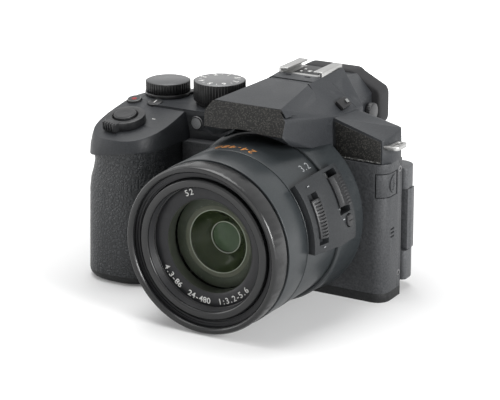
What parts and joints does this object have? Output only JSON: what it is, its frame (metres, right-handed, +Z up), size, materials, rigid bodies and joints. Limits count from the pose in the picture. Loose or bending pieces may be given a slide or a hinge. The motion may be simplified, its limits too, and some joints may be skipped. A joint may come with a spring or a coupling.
{
  "type": "bridge camera",
  "caption": "Bridge camera with a fixed superzoom lens, deep grip, pop-up flash, viewfinder, hot shoe and swing-out monitor.",
  "frame": {"origin": "mouth of the tripod socket in the base, under the lens axis", "axes": "+Z up, -Y along the lens towards the subject, +X to the side away from the grip"},
  "size_m": [0.1391, 0.1171, 0.0923],
  "materials": {
    "body_plastic": "finely sparked moulded plastic",
    "top_plastic": "satin moulded plastic",
    "grip_rubber": "leather-grain rubber",
    "eyecup_rubber": "soft matt rubber",
    "speckled_panel": "speckled coarse-grain trim",
    "barrel_paint": "satin black lens barrel",
    "ring_black": "matt black name ring",
    "lens_glass": "coated optical glass",
    "cell_plastic": "glass-filled lens cell",
    "bright_metal": "bright nickel",
    "screw_metal": "blackened steel",
    "button_plastic": "satin button plastic",
    "record_plastic": "black button with a red dot",
    "dial_metal": "turned and knurled",
    "lamp_plastic": "translucent lamp lens",
    "flash_clear": "ribbed clear window",
    "screen_glass": "dark cover glass",
    "sensor_parts": "sensor glass",
    "plate_metal": "pressed plate",
    "board": "solder mask",
    "battery_case": "battery case",
    "card_case": "card case",
    "brass": "turned brass"
  },
  "bodies": {
    "camera_body": {"front_cover": "body_plastic", "rear_cover": "body_plastic", "top_cover": "top_plastic", "base_plate": "body_plastic", "grip_core": "body_plastic", "grip_skin": "grip_rubber", "thumb_pad": "grip_rubber", "shoulder_panel": "speckled_panel", "af_lamp": "lamp_plastic", "lens_flange": "barrel_paint", "lens_barrel": "barrel_paint", "barrel_collar": "barrel_paint", "front_ring": "barrel_paint", "control_pod": "top_plastic", "guide_rods": "bright_metal", "image_sensor": "sensor_parts", "sensor_plate": "plate_metal", "main_board": "board", "zoom_motor": "plate_metal", "viewfinder_panel": "screen_glass", "eyepiece_lens": "lens_glass", "eyecup": "eyecup_rubber", "hot_shoe": "bright_metal", "shoe_spring": "bright_metal", "hinge_pins": "bright_metal", "lcd_hinge": "body_plastic", "battery": "battery_case", "memory_card": "card_case", "tripod_insert": "brass", "strap_lugs": "bright_metal", "mic_jack": "bright_metal", "case_screws": "screw_metal"},
    "zoom_barrel": {"zoom_barrel": "barrel_paint", "name_ring": "ring_black", "front_element": "lens_glass"},
    "zoom_group": {"zoom_group": "cell_plastic", "iris_ring": "ring_black"},
    "focus_group": {"focus_group": "cell_plastic"},
    "shutter_button": {"shutter_button": "button_plastic"},
    "zoom_lever": {"zoom_lever": "button_plastic"},
    "record_button": {"record_button": "record_plastic"},
    "function_button": {"function_button": "button_plastic"},
    "control_dial": {"control_dial": "dial_metal"},
    "power_lever": {"power_lever": "dial_metal"},
    "mode_dial": {"mode_dial": "dial_metal"},
    "pod_lever": {"pod_lever": "button_plastic"},
    "focus_switch": {"focus_switch": "button_plastic"},
    "pod_button": {"pod_button": "button_plastic"},
    "flash_head": {"flash_lid": "top_plastic", "flash_window": "flash_clear"},
    "flash_slider": {"flash_slider": "button_plastic"},
    "monitor": {"lcd_frame": "body_plastic", "lcd_screen": "screen_glass"},
    "battery_door": {"battery_door": "body_plastic"},
    "door_latch": {"door_latch": "button_plastic"},
    "mic_flap": {"mic_flap": "body_plastic"},
    "dioptre_wheel": {"dioptre_wheel": "button_plastic"},
    "cursor_pad": {"cursor_pad": "button_plastic"},
    "set_button": {"set_button": "button_plastic"},
    "play_button": {"play_button": "button_plastic"}
  },
  "joints": [
    {"name": "zoom_slide", "type": "slide", "parent": "camera_body", "child": "zoom_barrel", "axis": [0, -1, 0], "range_m": [0, 0.038]},
    {"name": "zoom_group_slide", "type": "slide", "parent": "camera_body", "child": "zoom_group", "axis": [0, -1, 0], "range_m": [0, 0.015]},
    {"name": "focus_slide", "type": "slide", "parent": "camera_body", "child": "focus_group", "axis": [0, -1, 0], "range_m": [0, 0.005]},
    {"name": "shutter_press", "type": "slide", "parent": "camera_body", "child": "shutter_button", "axis": [0, 0.1961, -0.9806], "range_m": [0, 0.001], "stiffness_N_per_m": 250},
    {"name": "zoom_lever_turn", "type": "hinge", "parent": "camera_body", "child": "zoom_lever", "pos_m": [-0.0677, -0.027, 0.0676], "axis": [0, -0.1961, 0.9806], "range_deg": [-14, 14], "stiffness_Nm_per_rad": 0.02},
    {"name": "record_press", "type": "slide", "parent": "camera_body", "child": "record_button", "axis": [0, 0.1961, -0.9806], "range_m": [0, 0.0008], "stiffness_N_per_m": 250},
    {"name": "function_press", "type": "slide", "parent": "camera_body", "child": "function_button", "axis": [0, 0.1961, -0.9806], "range_m": [0, 0.0008], "stiffness_N_per_m": 250},
    {"name": "control_dial_turn", "type": "hinge", "parent": "camera_body", "child": "control_dial", "pos_m": [-0.0685, 0.008, 0.072], "axis": [0, 0, 1], "continuous": true},
    {"name": "power_turn", "type": "hinge", "parent": "camera_body", "child": "power_lever", "pos_m": [-0.0685, 0.008, 0.072], "axis": [0, 0, 1], "range_deg": [0, 38]},
    {"name": "mode_dial_turn", "type": "hinge", "parent": "camera_body", "child": "mode_dial", "pos_m": [-0.0405, 0.006, 0.072], "axis": [0, 0, 1], "continuous": true},
    {"name": "pod_lever_turn", "type": "hinge", "parent": "camera_body", "child": "pod_lever", "pos_m": [0, 0, 0.036], "axis": [0, -1, 0], "range_deg": [-3.5, 3.5], "stiffness_Nm_per_rad": 0.4},
    {"name": "focus_switch_turn", "type": "hinge", "parent": "camera_body", "child": "focus_switch", "pos_m": [0, 0, 0.036], "axis": [0, -1, 0], "range_deg": [-3.5, 3.5]},
    {"name": "pod_button_press", "type": "slide", "parent": "camera_body", "child": "pod_button", "axis": [-0.9903, 0, -0.1392], "range_m": [0, 0.0007], "stiffness_N_per_m": 250},
    {"name": "flash_pop", "type": "hinge", "parent": "camera_body", "child": "flash_head", "pos_m": [0, -0.002, 0.0863], "axis": [-1, 0, 0], "range_deg": [0, 55]},
    {"name": "flash_open_slide", "type": "slide", "parent": "camera_body", "child": "flash_slider", "axis": [0.1438, 0.989, 0.0345], "range_m": [0, 0.0012], "stiffness_N_per_m": 250},
    {"name": "monitor_swing", "type": "hinge", "parent": "camera_body", "child": "monitor", "pos_m": [0.0463, 0.0145, 0.031], "axis": [0, 0, -1], "range_deg": [0, 175]},
    {"name": "battery_door_swing", "type": "hinge", "parent": "camera_body", "child": "battery_door", "pos_m": [-0.0517, -0.013, 0.0011], "axis": [0, -1, 0], "range_deg": [0, 95]},
    {"name": "door_latch_slide", "type": "slide", "parent": "battery_door", "child": "door_latch", "axis": [1, 0, 0], "range_m": [0, 0.003]},
    {"name": "mic_flap_swing", "type": "hinge", "parent": "camera_body", "child": "mic_flap", "pos_m": [0.04805, 0, 0.0515], "axis": [0, 0, 1], "range_deg": [0, 100]},
    {"name": "dioptre_turn", "type": "hinge", "parent": "camera_body", "child": "dioptre_wheel", "pos_m": [0.0229, 0.024, 0.0725], "axis": [1, 0, 0], "range_deg": [-150, 150]},
    {"name": "cursor_pad_tilt", "type": "hinge", "parent": "camera_body", "child": "cursor_pad", "pos_m": [-0.044, 0.018, 0.026], "axis": [0, 0, 1], "range_deg": [-2.5, 2.5], "stiffness_Nm_per_rad": 0.05},
    {"name": "set_press", "type": "slide", "parent": "camera_body", "child": "set_button", "axis": [0, -1, 0], "range_m": [0, 0.0008], "stiffness_N_per_m": 250},
    {"name": "play_press", "type": "slide", "parent": "camera_body", "child": "play_button", "axis": [0, -1, 0], "range_m": [0, 0.0008], "stiffness_N_per_m": 250}
  ],
  "couplings": [
    {"joint": "zoom_group_slide", "follows": "zoom_slide", "ratio": 0.39},
    {"joint": "focus_slide", "follows": "zoom_slide", "ratio": 0.13}
  ]
}
